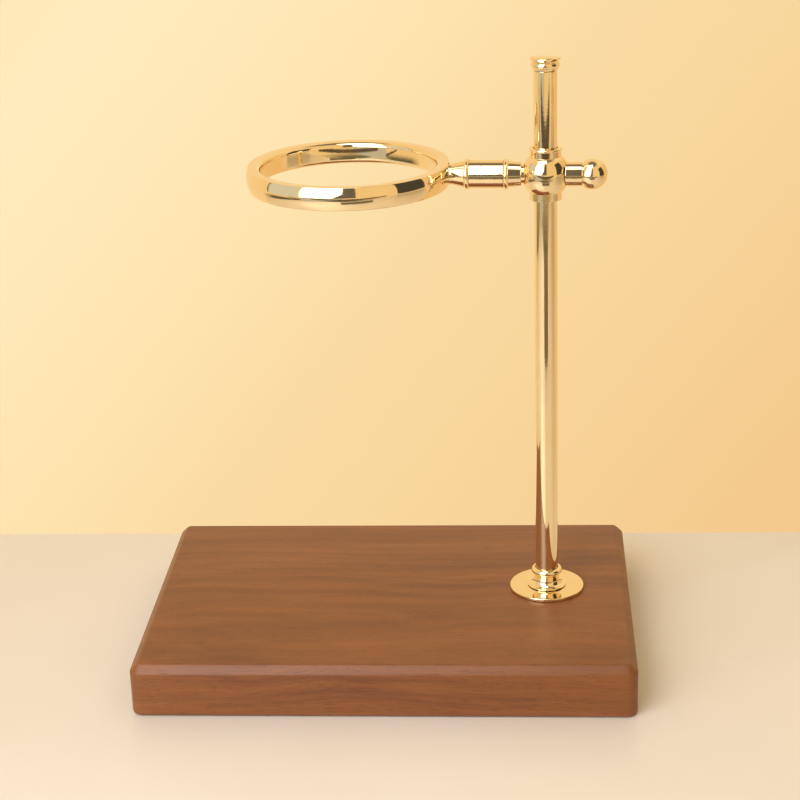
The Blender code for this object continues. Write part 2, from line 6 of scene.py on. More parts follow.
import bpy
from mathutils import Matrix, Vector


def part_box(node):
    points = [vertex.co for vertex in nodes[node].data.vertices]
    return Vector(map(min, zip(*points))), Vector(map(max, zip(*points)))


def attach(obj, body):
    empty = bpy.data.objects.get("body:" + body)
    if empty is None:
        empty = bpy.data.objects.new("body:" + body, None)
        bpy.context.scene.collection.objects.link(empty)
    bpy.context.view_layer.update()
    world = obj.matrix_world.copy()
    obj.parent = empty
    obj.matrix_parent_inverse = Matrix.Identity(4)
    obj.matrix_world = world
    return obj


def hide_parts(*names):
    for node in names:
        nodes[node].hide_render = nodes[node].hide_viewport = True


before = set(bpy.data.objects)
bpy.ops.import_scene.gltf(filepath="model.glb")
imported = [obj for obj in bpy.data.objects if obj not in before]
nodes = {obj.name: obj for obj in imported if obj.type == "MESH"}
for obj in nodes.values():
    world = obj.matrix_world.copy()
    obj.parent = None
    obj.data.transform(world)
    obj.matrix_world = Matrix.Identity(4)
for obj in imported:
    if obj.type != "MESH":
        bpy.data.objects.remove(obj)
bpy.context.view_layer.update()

import math

import bmesh
import bpy
from mathutils import Matrix, Vector

MM = 0.001

# ---------------------------------------------------------------- sizes, in millimetres
BOARD_CORNER = 6.0
BOARD_CHAMFER = 4.0
BOARD_EDGE_ROUND = 0.9
BOARD_FOOT_ROUND = 1.5
POLE_RADIUS = 6.0
POLE_BORE = 4.8
FIT = 0.3                # air between two pieces that rest on each other
RUNNING_GAP = 0.15       # air between two pieces that run on each other
CUTTER_OVERRUN = 2.0     # how far a cutter reaches past the piece it cuts
STUD_RADIUS = 3.0
STUD_HOLE = 3.2
BOLT_HOLE = STUD_RADIUS + 0.5
SMALL_STUD_HOLE = 2.7    # for the thinner stud between arm and ring
ARM_HEIGHT = 260.0
ARM_TURNED_BACK = 3.5    # degrees
ARM_LENGTH = 48.0        # pole axis to the ring's wall
RING_RADIUS = 52.8
RING_BORE = 45.0
RING_HALF_HEIGHT = 5.8
RING_SWELL = 1.3
RING_SEAT_CUT = 1.4
BARREL_RADIUS = 11.6
BARREL_POWER = 0.76      # 1 is an ellipse, less is squarer
KNOB_SEAT = 9.8          # pole axis to the floor of the knob's recess
KNOB_NECK = 6.2          # radius
SEAT_PLANE = 10.2        # pole axis to the flat that the arm is screwed against

low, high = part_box("pole_tube")
POLE_PLACE = Vector(((low.x + high.x) / 2, (low.y + high.y) / 2, 0.0))
POLE_FOOT = low.z / MM
POLE_HEAD = high.z / MM
STAND_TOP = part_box("pole_cap")[1].z / MM

at_pole = Matrix.Translation(POLE_PLACE)
at_boss = (Matrix.Translation(POLE_PLACE + Vector((0.0, 0.0, ARM_HEIGHT * MM)))
           @ Matrix.Rotation(math.radians(-ARM_TURNED_BACK), 4, "Z"))
along_arm = at_boss @ Matrix.Rotation(math.radians(-90.0), 4, "Y")
along_clamp = at_boss @ Matrix.Rotation(math.radians(90.0), 4, "Y")
at_ring = (along_arm @ Matrix.Translation((0.0, 0.0, (ARM_LENGTH + RING_RADIUS) * MM))
           @ Matrix.Rotation(math.radians(90.0), 4, "Y"))


# ================================================================ materials
def linear(hex_colour):
    """An sRGB hex colour as linear RGBA."""
    channels = [int(hex_colour[start:start + 2], 16) / 255.0 for start in (1, 3, 5)]
    spread = [c / 12.92 if c <= 0.04045 else ((c + 0.055) / 1.055) ** 2.4 for c in channels]
    return (*spread, 1.0)


def add_node(tree, kind, values=None, links=None, **settings):
    """Add one node, set its properties and socket values, and link its inputs."""
    node = tree.nodes.new(kind)
    for name, value in settings.items():
        setattr(node, name, value)
    for socket, value in (values or {}).items():
        node.inputs[socket].default_value = value
    for socket, source in (links or {}).items():
        tree.links.new(source, node.inputs[socket])
    return node


def colour_stops(ramp, stops):
    """Fill a colour ramp with (position, hex colour) stops."""
    elements = ramp.color_ramp.elements
    while len(elements) < len(stops):
        elements.new(0.5)
    for element, (position, colour) in zip(elements, stops):
        element.position = position
        element.color = linear(colour)


def new_material(name):
    """A material with its node tree and its Principled BSDF."""
    material = bpy.data.materials.new(name)
    material.use_nodes = True
    return material, material.node_tree, material.node_tree.nodes["Principled BSDF"]


def make_brass():
    """Lacquered free-cutting brass, turned and buffed to a mirror.

    It reads as a pale warm gold that takes its tones from what it reflects, with faint
    cloudiness from buffing and lacquer that stops it looking like perfect glass.
    """
    material, tree, shader = new_material("buffed_lacquered_brass")
    shader.inputs["Metallic"].default_value = 1.0
    shader.inputs["Coat Weight"].default_value = 0.25
    shader.inputs["Coat Roughness"].default_value = 0.04
    place = add_node(tree, "ShaderNodeTexCoord").outputs["Object"]
    # buffing haze comes in soft patches about 12 mm across
    haze = add_node(tree, "ShaderNodeTexNoise", {"Scale": 80.0, "Detail": 3.0, "Roughness": 0.55},
                    {"Vector": place})
    tone = add_node(tree, "ShaderNodeValToRGB", links={"Fac": haze.outputs["Fac"]})
    colour_stops(tone, [(0.3, "#F6E0B2"), (0.7, "#FAE5BB")])
    tree.links.new(tone.outputs["Color"], shader.inputs["Base Color"])
    gloss = add_node(tree, "ShaderNodeMapRange",
                     {"From Min": 0.3, "From Max": 0.7, "To Min": 0.045, "To Max": 0.085},
                     {"Value": haze.outputs["Fac"]})
    tree.links.new(gloss.outputs["Result"], shader.inputs["Roughness"])
    # orange peel left by the mop, about 1.5 mm across and a few micrometres deep
    peel = add_node(tree, "ShaderNodeTexNoise", {"Scale": 650.0, "Detail": 1.0}, {"Vector": place})
    bump = add_node(tree, "ShaderNodeBump", {"Strength": 0.012, "Distance": 0.0004},
                    {"Height": peel.outputs["Fac"]})
    tree.links.new(bump.outputs["Normal"], shader.inputs["Normal"])
    return material


def make_walnut():
    """Solid walnut, sanded and oiled with a satin hard wax.

    Long grain runs along the board; pores show as short dark dashes, and the growth rings
    as wide soft bands that bend slowly.
    """
    material, tree, shader = new_material("oiled_walnut")
    place = add_node(tree, "ShaderNodeTexCoord").outputs["Object"]
    # the bands wander sideways, one bend in some 140 mm of length
    drift_map = add_node(tree, "ShaderNodeMapping", {"Scale": (7.0, 16.0, 16.0)}, {"Vector": place})
    drift = add_node(tree, "ShaderNodeTexNoise", {"Scale": 1.0, "Detail": 2.0},
                     {"Vector": drift_map.outputs["Vector"]})
    bent = add_node(tree, "ShaderNodeVectorMath", {1: (0.0, 0.022, 0.022)}, {0: drift.outputs["Color"]},
                    operation="MULTIPLY")
    moved = add_node(tree, "ShaderNodeVectorMath", links={0: place, 1: bent.outputs["Vector"]},
                     operation="ADD").outputs["Vector"]
    # growth rings about 4 mm wide round a heart 75 mm below the board's foot, in front of its middle
    heart = add_node(tree, "ShaderNodeMapping",
                     {"Location": (0.0, 0.055, 0.075), "Scale": (0.05, 1.0, 1.0)}, {"Vector": moved})
    reach = add_node(tree, "ShaderNodeVectorMath", links={0: heart.outputs["Vector"]}, operation="LENGTH")
    rings = add_node(tree, "ShaderNodeTexNoise", {"Scale": 260.0, "Detail": 3.0, "Roughness": 0.6},
                     {"W": reach.outputs["Value"]}, noise_dimensions="1D")
    # fibre 0.7 mm wide and some 33 mm long, drawn coarser than it is so that it shows
    fibre_map = add_node(tree, "ShaderNodeMapping", {"Scale": (30.0, 1500.0, 1500.0)}, {"Vector": moved})
    fibre = add_node(tree, "ShaderNodeTexNoise", {"Scale": 1.0, "Detail": 3.0, "Roughness": 0.6},
                     {"Vector": fibre_map.outputs["Vector"]})
    # pores nearly 0.5 mm wide and 8 mm long, drawn wider than they are so that they show
    pore_map = add_node(tree, "ShaderNodeMapping", {"Scale": (130.0, 2200.0, 2200.0)}, {"Vector": moved})
    pore = add_node(tree, "ShaderNodeTexNoise", {"Scale": 1.0, "Detail": 1.0},
                    {"Vector": pore_map.outputs["Vector"]})
    pore_mask = add_node(tree, "ShaderNodeMapRange", {"From Min": 0.60, "From Max": 0.72},
                         {"Value": pore.outputs["Fac"]})
    # heartwood streaks 15 mm wide that fade out over some 125 mm
    streak_map = add_node(tree, "ShaderNodeMapping", {"Scale": (8.0, 65.0, 65.0)}, {"Vector": moved})
    streak = add_node(tree, "ShaderNodeTexNoise", {"Scale": 1.0, "Detail": 3.0, "Roughness": 0.5},
                      {"Vector": streak_map.outputs["Vector"]})
    # the tone is 22 parts growth rings, 48 parts streaks and 30 parts fibre
    ring_tone = add_node(tree, "ShaderNodeMath", {1: 0.22}, {0: rings.outputs["Fac"]},
                         operation="MULTIPLY")
    streak_tone = add_node(tree, "ShaderNodeMath", {1: 0.48},
                           {0: streak.outputs["Fac"], 2: ring_tone.outputs["Value"]},
                           operation="MULTIPLY_ADD")
    tone = add_node(tree, "ShaderNodeMath", {1: 0.30},
                    {0: fibre.outputs["Fac"], 2: streak_tone.outputs["Value"]}, operation="MULTIPLY_ADD")
    shade = add_node(tree, "ShaderNodeValToRGB", links={"Fac": tone.outputs["Value"]})
    colour_stops(shade, [(0.34, "#683A20"), (0.45, "#7C4925"), (0.55, "#885128"), (0.68, "#966034")])
    pore_share = add_node(tree, "ShaderNodeMath", {1: 0.55}, {0: pore_mask.outputs["Result"]},
                          operation="MULTIPLY")
    colour = add_node(tree, "ShaderNodeMix", {"B": linear("#4E2C19")},
                      {"Factor": pore_share.outputs["Value"], "A": shade.outputs["Color"]},
                      data_type="RGBA")
    tree.links.new(colour.outputs["Result"], shader.inputs["Base Color"])
    gloss = add_node(tree, "ShaderNodeMapRange", {"To Min": 0.34, "To Max": 0.5},
                     {"Value": fibre.outputs["Fac"]})
    tree.links.new(gloss.outputs["Result"], shader.inputs["Roughness"])
    bump = add_node(tree, "ShaderNodeBump", {"Strength": 0.10, "Distance": 0.0003},
                    {"Height": tone.outputs["Value"]})
    tree.links.new(bump.outputs["Normal"], shader.inputs["Normal"])
    return material


def make_steel():
    """Bright zinc-plated steel: cool grey, slightly cloudy from the plating bath."""
    material, tree, shader = new_material("bright_zinc_plated_steel")
    shader.inputs["Metallic"].default_value = 1.0
    place = add_node(tree, "ShaderNodeTexCoord").outputs["Object"]
    # plating clouds about 3 mm across
    cloud = add_node(tree, "ShaderNodeTexNoise", {"Scale": 300.0, "Detail": 3.0}, {"Vector": place})
    tone = add_node(tree, "ShaderNodeValToRGB", links={"Fac": cloud.outputs["Fac"]})
    colour_stops(tone, [(0.3, "#B4B8BC"), (0.7, "#CDD0D3")])
    tree.links.new(tone.outputs["Color"], shader.inputs["Base Color"])
    gloss = add_node(tree, "ShaderNodeMapRange", {"To Min": 0.22, "To Max": 0.4},
                     {"Value": cloud.outputs["Fac"]})
    tree.links.new(gloss.outputs["Result"], shader.inputs["Roughness"])
    return material


def make_nylon():
    """Natural moulded nylon: milky off-white with a soft waxy sheen."""
    material, tree, shader = new_material("natural_moulded_nylon")
    shader.inputs["Subsurface Weight"].default_value = 0.2
    shader.inputs["Subsurface Radius"].default_value = (0.002, 0.0016, 0.0012)
    shader.inputs["IOR"].default_value = 1.53
    place = add_node(tree, "ShaderNodeTexCoord").outputs["Object"]
    # mottling from the mould, about 2 mm across
    mottle = add_node(tree, "ShaderNodeTexNoise", {"Scale": 500.0, "Detail": 2.0}, {"Vector": place})
    tone = add_node(tree, "ShaderNodeValToRGB", links={"Fac": mottle.outputs["Fac"]})
    colour_stops(tone, [(0.3, "#DAD5C6"), (0.7, "#E6E2D5")])
    tree.links.new(tone.outputs["Color"], shader.inputs["Base Color"])
    gloss = add_node(tree, "ShaderNodeMapRange", {"To Min": 0.42, "To Max": 0.55},
                     {"Value": mottle.outputs["Fac"]})
    tree.links.new(gloss.outputs["Result"], shader.inputs["Roughness"])
    return material


def make_felt():
    """Pressed wool felt, dark brown: matt, with matted fibres that catch a little light."""
    material, tree, shader = new_material("pressed_wool_felt")
    shader.inputs["Roughness"].default_value = 0.95
    shader.inputs["Sheen Weight"].default_value = 0.4
    shader.inputs["Sheen Roughness"].default_value = 0.6
    place = add_node(tree, "ShaderNodeTexCoord").outputs["Object"]
    # fibre clumps about 0.5 mm across
    fibre = add_node(tree, "ShaderNodeTexNoise", {"Scale": 2000.0, "Detail": 4.0, "Roughness": 0.7},
                     {"Vector": place})
    tone = add_node(tree, "ShaderNodeValToRGB", links={"Fac": fibre.outputs["Fac"]})
    colour_stops(tone, [(0.35, "#241B16"), (0.65, "#43352B")])
    tree.links.new(tone.outputs["Color"], shader.inputs["Base Color"])
    bump = add_node(tree, "ShaderNodeBump", {"Strength": 0.6, "Distance": 0.0003},
                    {"Height": fibre.outputs["Fac"]})
    tree.links.new(bump.outputs["Normal"], shader.inputs["Normal"])
    return material


brass = make_brass()
walnut = make_walnut()
steel = make_steel()
nylon = make_nylon()
felt = make_felt()


# ================================================================ shapes
def finish_piece(name, shape, material, body, replaced, placement=Matrix.Identity(4), sharp=30.0):
    """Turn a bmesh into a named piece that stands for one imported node."""
    bmesh.ops.remove_doubles(shape, verts=shape.verts, dist=0.0005 * MM)
    bmesh.ops.transform(shape, matrix=placement, verts=shape.verts)
    bmesh.ops.recalc_face_normals(shape, faces=shape.faces)
    mesh = bpy.data.meshes.new(name)
    shape.to_mesh(mesh)
    shape.free()
    mesh.shade_smooth()
    mesh.set_sharp_from_angle(angle=math.radians(sharp))
    mesh.materials.append(material)
    piece = bpy.data.objects.new(name, mesh)
    bpy.context.scene.collection.objects.link(piece)
    if body:
        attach(piece, body)
        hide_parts(replaced)
    return piece


def soften(points):
    """Round each (radius, height, fillet) corner of a profile; plain (radius, height) corners stay."""
    largest_share = 0.45    # of the shorter of the two sides that meet in a corner
    step_angle = 9          # degrees of turn to a step
    guard = 0.06            # flat before and after, so the rounding does not shade the straight run
    done = []
    for index, point in enumerate(points):
        if len(point) == 2 or not 0 < index < len(points) - 1:
            done.append(Vector(point[:2]))
            continue
        corner = Vector(point[:2])
        back = Vector(points[index - 1][:2]) - corner
        ahead = Vector(points[index + 1][:2]) - corner
        between = back.angle(ahead)
        setback = point[2] / math.tan(between / 2)
        setback = min(setback, largest_share * back.length, largest_share * ahead.length)
        fillet = setback * math.tan(between / 2)
        start = corner + back.normalized() * setback
        end = corner + ahead.normalized() * setback
        inward = (back.normalized() + ahead.normalized()).normalized()
        middle = corner + inward * fillet / math.sin(between / 2)
        turn = math.pi - between
        steps = max(2, round(math.degrees(turn) / step_angle))
        if back.length > setback * 2 + guard:
            done.append(start + back.normalized() * guard)
        side = math.copysign(1.0, (start - middle).cross(end - middle))
        spoke = start - middle
        for step in range(steps + 1):
            angle = side * turn * step / steps
            done.append(middle + Vector((spoke.x * math.cos(angle) - spoke.y * math.sin(angle),
                                         spoke.x * math.sin(angle) + spoke.y * math.cos(angle))))
        if ahead.length > setback * 2 + guard:
            done.append(end + ahead.normalized() * guard)
    return done


def arc(centre_r, centre_z, radius, start, end, steps):
    """Points on a circle in the profile plane; angles in degrees from +r."""
    angles = [math.radians(start + (end - start) * step / steps) for step in range(steps + 1)]
    return [(centre_r + radius * math.cos(a), centre_z + radius * math.sin(a)) for a in angles]


def spun(profile, facets=128, closed=False, sweep=360.0):
    """A bmesh turned on local Z from a profile in millimetres."""
    shape = bmesh.new()
    verts = [shape.verts.new((point.x * MM, 0.0, point.y * MM)) for point in soften(profile)]
    edges = [shape.edges.new(pair) for pair in zip(verts, verts[1:])]
    if closed:
        edges.append(shape.edges.new((verts[-1], verts[0])))
    whole = sweep >= 360.0
    bmesh.ops.spin(shape, geom=verts + edges, cent=(0.0, 0.0, 0.0), axis=(0.0, 0.0, 1.0),
                   angle=math.radians(sweep), steps=facets, use_merge=whole)
    if not whole:
        bmesh.ops.holes_fill(shape, edges=[edge for edge in shape.edges if edge.is_boundary], sides=0)
    return shape


def carve(piece, profile, placement, facets=64, sharp=30.0):
    """Cut a turned hollow out of a piece."""
    tool_shape = spun(profile, facets)
    tool = finish_piece("tool", tool_shape, brass, None, None, placement)
    boolean = piece.modifiers.new("carve", "BOOLEAN")
    boolean.operation = "DIFFERENCE"
    boolean.solver = "EXACT"
    boolean.object = tool
    bpy.context.view_layer.update()
    carved = bpy.data.meshes.new_from_object(piece.evaluated_get(bpy.context.evaluated_depsgraph_get()))
    piece.modifiers.clear()
    rough = piece.data
    piece.data = carved
    bpy.data.meshes.remove(rough)
    piece.data.name = piece.name
    bpy.data.objects.remove(tool, do_unlink=True)
    while len(piece.data.materials) > 1:
        piece.data.materials.pop()
    piece.data.shade_smooth()
    piece.data.set_sharp_from_angle(angle=math.radians(sharp))


# ================================================================ board and feet
def make_board():
    """Board with upright edges rounded, top edge chamfered and eased, and its underside bored."""
    low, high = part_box("base_board")
    size = high - low
    shape = bmesh.new()
    bmesh.ops.create_cube(shape, size=1.0)
    bmesh.ops.scale(shape, verts=shape.verts, vec=size)
    bmesh.ops.translate(shape, verts=shape.verts, vec=(low + high) / 2)

    def bevel(edges, width, segments):
        bmesh.ops.bevel(shape, geom=edges, offset=width * MM, offset_type="OFFSET", segments=segments,
                        profile=0.5, affect="EDGES", material=-1)

    upright = [edge for edge in shape.edges if abs(edge.verts[0].co.z - edge.verts[1].co.z) > size.z / 2]
    bevel(upright, BOARD_CORNER, 12)
    level = 0.01 * MM
    bevel([e for e in shape.edges if all(v.co.z > high.z - level for v in e.verts)], BOARD_CHAMFER, 1)
    # both edges of the chamfer are eased by sanding
    eased = [e for e in shape.edges if e.is_manifold and e.calc_face_angle() > math.radians(20.0)
             and abs(e.verts[0].co.z - e.verts[1].co.z) < level and e.verts[0].co.z > low.z + size.z / 2]
    bevel(eased, BOARD_EDGE_ROUND, 4)
    bevel([e for e in shape.edges if all(v.co.z < low.z + level for v in e.verts)], BOARD_FOOT_ROUND, 5)
    board = finish_piece("walnut_board", shape, walnut, "stand", "base_board", sharp=50.0)

    washer_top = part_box("flat_washer")[1].z / MM
    counterbore = (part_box("flat_washer")[1].x - POLE_PLACE.x + 1.5 * MM) / MM
    board_top = high.z / MM
    carve(board, [(0.0, -CUTTER_OVERRUN), (counterbore, -CUTTER_OVERRUN), (counterbore, washer_top + FIT),
                  (BOLT_HOLE, washer_top + FIT), (BOLT_HOLE, board_top + CUTTER_OVERRUN),
                  (0.0, board_top + CUTTER_OVERRUN)], at_pole, sharp=40.0)
    for corner in ("front_left", "front_right", "back_left", "back_right"):
        pad_low, pad_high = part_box("foot_pad_" + corner)
        place = Matrix.Translation(((pad_low.x + pad_high.x) / 2, (pad_low.y + pad_high.y) / 2, 0.0))
        radius = (pad_high.y - pad_low.y) / 2 / MM
        thick = (pad_high.z - pad_low.z) / MM
        recess = radius + FIT
        carve(board, [(0.0, -CUTTER_OVERRUN), (recess, -CUTTER_OVERRUN), (recess, thick + FIT),
                      (0.0, thick + FIT)], place, sharp=40.0)
        shape = spun([(0.0, 0.0), (radius, 0.0, 0.25), (radius, thick, 0.35), (0.0, thick)], 64)
        finish_piece("felt_pad_" + corner, shape, felt, "stand", "foot_pad_" + corner, place)


make_board()


# ================================================================ bolt and washers under the board
def make_fixing():
    """Socket-head bolt with a plain and a split washer, in the board's counterbore."""
    low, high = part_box("fixing_bolt")
    head_low = low.z / MM
    head_radius = (high.x - low.x) / 2 / MM
    head_high = head_low + 4.0
    head_chamfer = 0.9
    tip = high.z / MM
    pitch = 1.0
    thread_depth = 0.5
    grip_end = head_high + 8.0
    thread = [(STUD_RADIUS, head_high), (STUD_RADIUS, grip_end)]
    for turn in range(int((tip - 1.0 - grip_end) / pitch)):
        crest = grip_end + turn * pitch
        thread += [(STUD_RADIUS - thread_depth, crest + pitch * 0.4),
                   (STUD_RADIUS - thread_depth, crest + pitch * 0.6), (STUD_RADIUS, crest + pitch)]
    profile = [(0.0, head_low), (head_radius - head_chamfer, head_low, 0.2),
               (head_radius, head_low + head_chamfer, 0.2), (head_radius, head_high, 0.15)]
    profile += thread
    profile += [(STUD_RADIUS - 0.6, tip), (0.0, tip)]
    bolt = finish_piece("socket_head_bolt", spun(profile, 72), steel, "stand", "fixing_bolt",
                        at_pole)
    # a 4 mm hexagon socket, 2.4 mm deep, with a drill point
    socket = 4.0 / 2 / math.cos(math.pi / 6)
    carve(bolt, [(0.0, head_low - 1.0), (socket, head_low - 1.0), (socket, head_low + 2.4),
                 (0.0, head_low + 3.2)], at_pole, facets=6)

    low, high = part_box("flat_washer")
    edge = (high.x - low.x) / 2 / MM
    ring = [(BOLT_HOLE + 1.0, low.z / MM), (edge, low.z / MM, 0.3), (edge, high.z / MM, 0.2),
            (BOLT_HOLE, high.z / MM), (BOLT_HOLE, low.z / MM, 0.15), (BOLT_HOLE + 1.0, low.z / MM)]
    finish_piece("plain_washer", spun(ring, 96), steel, "stand", "flat_washer", at_pole)

    low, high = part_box("spring_washer")
    edge = (high.x - low.x) / 2 / MM
    inner = BOLT_HOLE - FIT
    split = 14.0    # degrees
    section = [(inner, low.z / MM), (edge, low.z / MM, 0.2), (edge, high.z / MM, 0.2),
               (inner, high.z / MM)]
    shape = spun(section, 90, closed=True, sweep=360.0 - split)
    finish_piece("split_washer", shape, steel, "stand", "spring_washer", at_pole)


make_fixing()


# ================================================================ flange and pole
def make_flange():
    """Flat disc, and the collar on it: flared foot, waist and round bead."""
    low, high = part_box("flange_disc")
    edge = (high.x - low.x) / 2 / MM
    under, top = low.z / MM, high.z / MM
    disc = [(BOLT_HOLE + 1.0, under), (edge, under, 0.2), (edge, top, 0.45), (BOLT_HOLE, top),
            (BOLT_HOLE, under), (BOLT_HOLE + 1.0, under)]
    finish_piece("turned_disc", spun(disc, 192), brass, "stand", "flange_disc", at_pole)

    low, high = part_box("flange_collar")
    foot = (high.x - low.x) / 2 / MM
    under, top = low.z / MM, high.z / MM
    bore = POLE_RADIUS + FIT
    neck = POLE_RADIUS + 1.0
    hollow = foot - neck
    bead = 2.0
    bead_r = POLE_RADIUS + 2.3 - bead
    foot_edge = 0.5
    waist = 0.9
    profile = [(bore + 1.0, under), (foot, under, 0.15), (foot, under + foot_edge, 0.2)]
    profile += arc(foot, under + foot_edge + hollow, hollow, 266.0, 182.0, 24)
    profile += [(neck, top - 2 * bead - waist, 0.6)]
    profile += arc(bead_r, top - bead, bead, -62.0, 88.0, 30)
    profile += [(bore, top), (bore, under), (bore + 1.0, under)]
    finish_piece("turned_collar", spun(profile, 144), brass, "stand", "flange_collar",
                 at_pole)


def make_pole():
    """Drawn tube, and its cap: rounded rim, cove, groove and barrel band."""
    tube = [(POLE_BORE, POLE_FOOT), (POLE_RADIUS, POLE_FOOT, 0.2), (POLE_RADIUS, POLE_HEAD, 0.2),
            (POLE_BORE, POLE_HEAD)]
    finish_piece("drawn_tube", spun(tube, 160, closed=True), brass, "stand", "pole_tube",
                 at_pole)

    rim = POLE_RADIUS + 1.8
    groove = POLE_RADIUS + 0.6
    neck = POLE_RADIUS + 0.5
    top = STAND_TOP
    under = POLE_HEAD + FIT
    rim_round = 1.2
    rim_height = 2.4
    cove_height = 0.8
    groove_height = 0.5
    band_rise = 0.75
    band_half = 1.35
    band_z = top - rim_height - groove_height - band_half
    spigot_end = under - 9.0
    profile = [(0.0, top), (rim * 0.5, top - 0.07)]
    profile += arc(rim - rim_round, top - 1.45, rim_round, 76.0, 2.0, 20)
    profile += [(rim - (rim - groove) * math.sin(math.radians(a)),
                 top - rim_height + cove_height * math.cos(math.radians(a))) for a in range(12, 91, 6)]
    profile += [(groove, top - (rim_height + groove_height))]
    profile += [(groove + band_rise * math.cos(math.radians(a)),
                 band_z + band_half * math.sin(math.radians(a))) for a in range(72, -73, -6)]
    profile += [(groove - 0.1, under + 1.15, 0.1), (neck, under + 0.8, 0.2), (neck, under, 0.15)]
    profile += [(STUD_RADIUS, under), (STUD_RADIUS, spigot_end, 0.4), (0.0, spigot_end)]
    finish_piece("turned_cap", spun(profile, 144), brass, "stand", "pole_cap", at_pole)


make_flange()
make_pole()


# ================================================================ sliding boss
def make_boss():
    """Barrel boss with a collar at each end, bored for the pole and its bushes, arm and clamp."""
    low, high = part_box("slider_boss")
    mouth_top = high.z / MM - ARM_HEIGHT
    mouth_low = low.z / MM - ARM_HEIGHT
    bore = POLE_RADIUS + FIT
    bush_wall = 0.8
    bush_length = 4.5
    pocket_r = POLE_RADIUS + RUNNING_GAP + bush_wall + RUNNING_GAP
    pocket = bush_length + 2 * FIT
    upper = pocket_r + 0.9
    lip = pocket_r + 1.5
    lower = pocket_r + 1.25
    lip_half = 0.6
    outer_end = 20.0    # past the barrel's side

    def barrel_at(turn):
        """Profile point at a parameter angle; the half height differs between the two ends."""
        half = 11.2 if turn > 0.0 else 11.3
        return (BARREL_RADIUS * math.cos(turn) ** BARREL_POWER,
                math.copysign(half * abs(math.sin(turn)) ** BARREL_POWER, turn))

    def turn_at(radius):
        return math.acos((radius / BARREL_RADIUS) ** (1.0 / BARREL_POWER))

    low_turn, high_turn = -turn_at(lower + 0.15), turn_at(upper + 0.15)
    profile = [(bore, mouth_low, 0.15), (lower, mouth_low, 0.3)]
    steps = 90
    barrel = [barrel_at(low_turn + (high_turn - low_turn) * step / steps) for step in range(steps + 1)]
    profile += [(lower, barrel[0][1], 0.15)] + barrel + [(upper, barrel[-1][1], 0.15)]
    profile += [(upper, mouth_top - 1.3, 0.12)]
    profile += arc(lip - lip_half, mouth_top - lip_half, lip_half, -70.0, 88.0, 16)
    profile += [(bore, mouth_top, 0.2)]
    for mouth, inward in ((mouth_top, -1.0), (mouth_low, 1.0)):
        near = mouth + inward
        far = near + inward * pocket
        step = [(bore, near), (pocket_r, near), (pocket_r, far), (bore, far)]
        profile += step if inward < 0.0 else step[::-1]
    boss = finish_piece("barrel_boss", spun(profile, 160, closed=True), brass, "arm_set", "slider_boss",
                        at_boss)
    # stud hole and a spot-faced seat for the arm, then the same for the knob
    for seat, seat_radius, placement in ((SEAT_PLANE, 5.2, along_arm), (KNOB_SEAT, 6.6, along_clamp)):
        carve(boss, [(0.0, 0.0), (STUD_HOLE, 0.0), (STUD_HOLE, seat), (seat_radius, seat),
                     (seat_radius, outer_end), (0.0, outer_end)], placement)


make_boss()


# ================================================================ arm and ring
def make_arm():
    """Arm turned in one piece: seat, tapered sleeve, bead, bar, bead, cone and straight nose."""
    seat = 4.9
    nose = 5.3
    bar = 7.2
    bead_radius = 7.9
    bead_width = 2.6
    sleeve_share = 0.18     # of the length from sleeve to ring
    bar_share = 0.485
    seat_start = SEAT_PLANE + FIT
    sleeve_start = seat_start + 1.6
    visible = ARM_LENGTH - sleeve_start
    sleeve_end = sleeve_start + sleeve_share * visible
    bar_start = sleeve_end + bead_width
    bar_end = bar_start + bar_share * visible
    cone_start = bar_end + bead_width
    arm_end = ARM_LENGTH + RING_SEAT_CUT - FIT
    stud_hole_end = seat_start + 12.0 + FIT
    ring_hole_start = arm_end - 6.0 - FIT

    def bead(start):
        return arc(bead_radius - bead_width / 2, start + bead_width / 2, bead_width / 2, -80.0, 80.0, 24)

    profile = [(0.0, stud_hole_end), (STUD_HOLE, stud_hole_end), (STUD_HOLE, seat_start),
               (seat, seat_start), (seat, sleeve_start, 0.15), (6.2, sleeve_start, 0.4),
               (6.7, sleeve_end, 0.1)]
    profile += bead(sleeve_end)
    profile += [(bar, bar_start, 0.1), (bar, bar_end, 0.1)]
    profile += bead(bar_end)
    profile += [(6.85, cone_start, 0.1), (nose, ARM_LENGTH - 0.4, 0.4), (nose, arm_end, 0.2)]
    profile += [(SMALL_STUD_HOLE, arm_end), (SMALL_STUD_HOLE, ring_hole_start), (0.0, ring_hole_start)]
    finish_piece("turned_arm", spun(profile, 144), brass, "arm_set", "arm", along_arm)


def make_ring():
    """Ring with a swollen outer wall, a well rounded bore and a recess for the arm's nose."""
    half = RING_HALF_HEIGHT
    curve = (half ** 2 + RING_SWELL ** 2) / (2 * RING_SWELL)
    reach = math.degrees(math.asin(half / curve))
    rim_round = 0.5
    inner = 2.8
    outer = arc(RING_RADIUS - curve, 0.0, curve, -reach * 0.93, reach * 0.93, 22)
    edge_r = RING_RADIUS - RING_SWELL
    profile = [(RING_BORE + inner + 0.5, -half), (edge_r, -half, rim_round)] + outer
    profile += [(edge_r, half, rim_round)]
    profile += arc(RING_BORE + inner, half - inner, inner, 92.0, 178.0, 14)
    profile += arc(RING_BORE + inner, inner - half, inner, 182.0, 268.0, 14)
    ring = finish_piece("turned_ring", spun(profile, 256, closed=True), brass, "arm_set", "ring",
                        at_ring)
    cut_start = 40.0    # inside the arm, clear of the ring's wall
    recess = 5.6
    seat_end = ARM_LENGTH + RING_SEAT_CUT
    hole_end = ARM_LENGTH + RING_SEAT_CUT + 4.0 + FIT
    carve(ring, [(0.0, cut_start), (recess, cut_start), (recess, seat_end), (SMALL_STUD_HOLE, seat_end),
                 (SMALL_STUD_HOLE, hole_end), (0.0, hole_end)], along_arm, facets=96)


